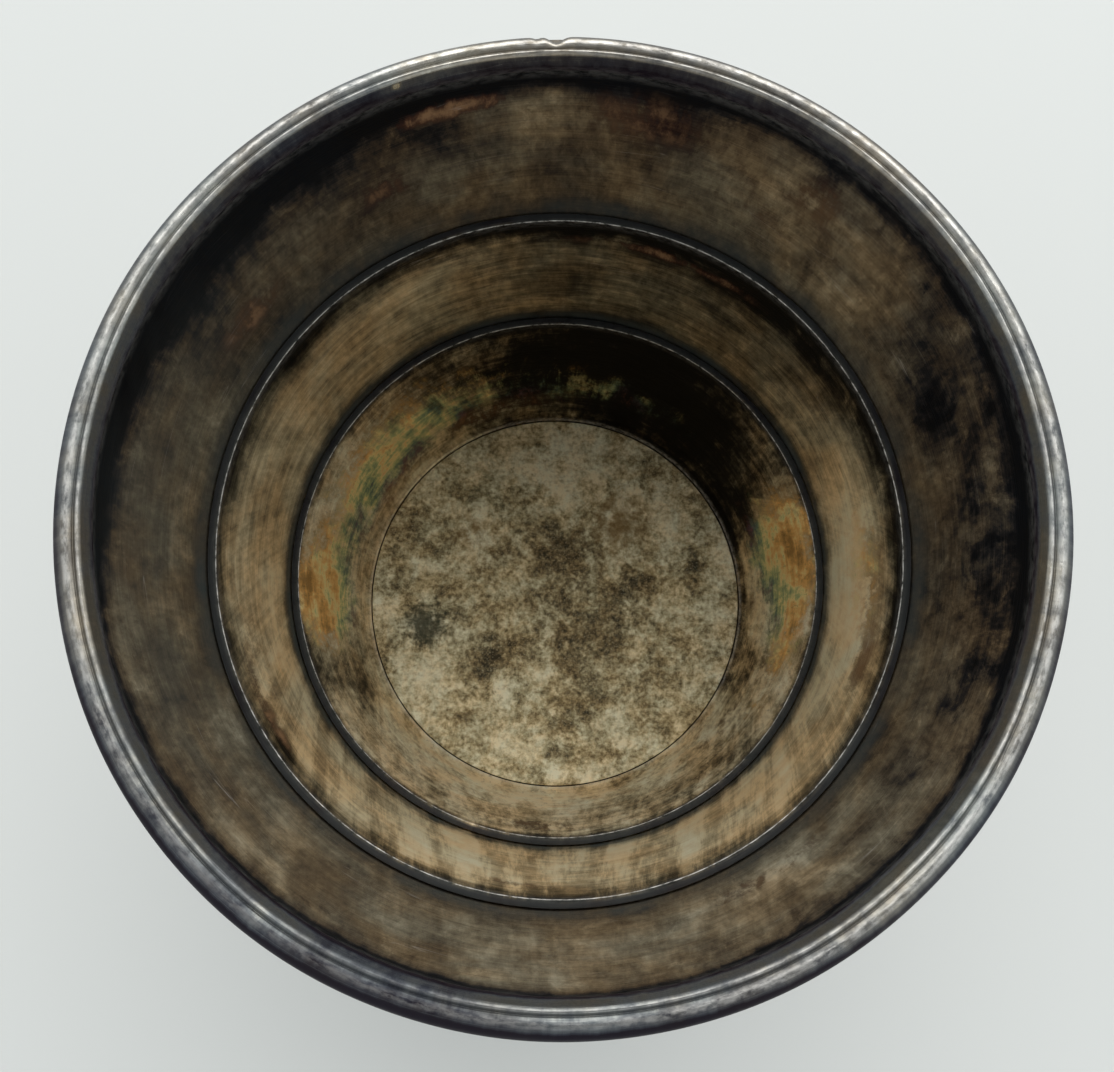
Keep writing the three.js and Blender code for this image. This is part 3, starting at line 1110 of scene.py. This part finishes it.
rim_finish = tarnished(
    "rim_finish", STEEL_TARNISH, COLD_GLINT,
    metal=0.85, blotch=0.6, grain=0.12, fleck=0.5, gloss=0.26,
    smear_size=(0.45, 3.0), rub_size=(1.0, 0.4), rub_amount=0.56, specular=0.03,
)
top_finish = tarnished(
    "top_ring_finish", BROWN_TARNISH, WARM_GLINT,
    metal=0.60, blotch=1.0, grain=0.40, fleck=0.65, gloss=0.36,
    islands=0.07, sweep=0.10,
)
middle_finish = tarnished(
    "middle_ring_finish", GOLD_TARNISH, WARM_GLINT,
    metal=0.50, blotch=0.60, grain=0.65, fleck=0.42, gloss=0.34,
    sweep=0.36,
)
lower_finish = tarnished(
    "lower_ring_finish", OLIVE_TARNISH, WARM_GLINT,
    metal=0.40, blotch=1.1, grain=0.7, fleck=0.85, gloss=0.38,
    islands=0.04, sweep=0.30, speck=0.30,
)
floor_finish = speckled("floor_finish")
foot_finish = tarnished(
    "foot_plate_finish", BROWN_TARNISH, WARM_GLINT,
    metal=0.95, blotch=0.45, grain=0.2, fleck=0.3, gloss=0.30,
    flat=True,
)
foot_rim_finish = tarnished(
    "foot_moulding_finish", STEEL_TARNISH, COLD_GLINT,
    metal=0.9, blotch=0.4, grain=0.2, fleck=0.3, gloss=0.26,
    rub_size=(3.0, 0.6), rub_amount=0.55,
)

PIECES = [
    (rim_piece, rim_finish, "top", "rim_moulding", "rim_plate"),
    (top_ring_piece, top_finish, "top", "top_ring", "top_ring_plate"),
    (middle_ring_piece, middle_finish, "middle", "middle_ring", "middle_ring_plate"),
    (lower_ring_piece, lower_finish, "base", "lower_ring", "lower_ring_plate"),
    (floor_piece, floor_finish, "base", "floor_disc", "floor_plate"),
    (plate_piece, foot_finish, "base", "base_plate", "foot_plate"),
    (foot_piece, foot_rim_finish, "base", "foot_moulding", "foot_moulding_plate"),
]
for make, finish, body, node, slot in PIECES:
    piece = make()
    piece.data.materials.append(finish)
    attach(piece, body)
    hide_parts(node)


# ---------------------------------------------------------------- stage, light and camera

TABLE_HALF = 1.2
TABLE_LEVEL = -0.02 * MM
TABLE_COLOUR = (0.55, 0.565, 0.558)


def add_table():
    """Plain pale paper, a hair below the foot."""
    mesh = bpy.data.meshes.new("table")
    turns = [(-1, -1), (1, -1), (1, 1), (-1, 1)]
    corners = [(x * TABLE_HALF, y * TABLE_HALF, TABLE_LEVEL) for x, y in turns]
    mesh.from_pydata(corners, [], [(0, 1, 2, 3)])
    table = bpy.data.objects.new("table", mesh)
    bpy.context.scene.collection.objects.link(table)
    n = Nodes("table_paper")
    shader = n.add("ShaderNodeBsdfPrincipled", {"Base Color": (*TABLE_COLOUR, 1.0), "Roughness": 0.7})
    n.add("ShaderNodeOutputMaterial", {"Surface": shader})
    mesh.materials.append(n.material)


def add_softbox(name, place, size, power, colour):
    """A square area light that faces the cup, placed in metres."""
    light = bpy.data.lights.new(name, "AREA")
    light.shape = "SQUARE"
    light.size = size
    light.energy = power
    light.color = colour
    lamp = bpy.data.objects.new(name, light)
    lamp.location = place
    lamp.rotation_euler = (-Vector(place)).to_track_quat("-Z", "Y").to_euler()
    bpy.context.scene.collection.objects.link(lamp)


def add_room():
    """Pale walls all round, and a dark ceiling that hangs over the -Y side of the cup."""
    world = bpy.data.worlds.new("studio")
    world.use_nodes = True
    tree = world.node_tree
    direction = tree.nodes.new("ShaderNodeTexCoord")
    ceiling = tree.nodes.new("ShaderNodeVectorMath")
    shade = tree.nodes.new("ShaderNodeMapRange")
    background = tree.nodes["Background"]
    ceiling.operation = "DOT_PRODUCT"
    ceiling.inputs[1].default_value = CEILING_CENTRE
    shade.interpolation_type = "SMOOTHSTEP"
    for socket, value in zip(shade.inputs[1:5], (CEILING_END, CEILING_DARK, WALL_LIGHT, CEILING_LIGHT)):
        socket.default_value = value
    tree.links.new(direction.outputs["Generated"], ceiling.inputs[0])
    tree.links.new(ceiling.outputs["Value"], shade.inputs[0])
    tree.links.new(shade.outputs[0], background.inputs["Strength"])
    background.inputs["Color"].default_value = ROOM_TINT
    bpy.context.scene.world = world


def add_camera():
    """The photograph's camera, as fitted to the ellipses of the rim and the rings."""
    camera = bpy.data.cameras.new("camera")
    camera.sensor_width = 36.0
    camera.lens = CAMERA_LENS
    camera.clip_start = 0.001
    holder = bpy.data.objects.new("camera", camera)
    place = Vector((0, 0, rim.top)) + Vector(CAMERA_PLACE)
    turn = Matrix.Rotation(CAMERA_PAN, 4, "Y") @ Matrix.Rotation(CAMERA_TILT, 4, "X")
    holder.matrix_world = Matrix.Translation(place * MM) @ turn
    bpy.context.scene.collection.objects.link(holder)
    bpy.context.scene.camera = holder


add_table()
add_softbox("window", (0.12, 0.68, 0.68), size=1.1, power=7.4, colour=(1.0, 0.98, 0.95))
add_room()
add_camera()
bpy.context.scene.view_settings.view_transform = "Standard"
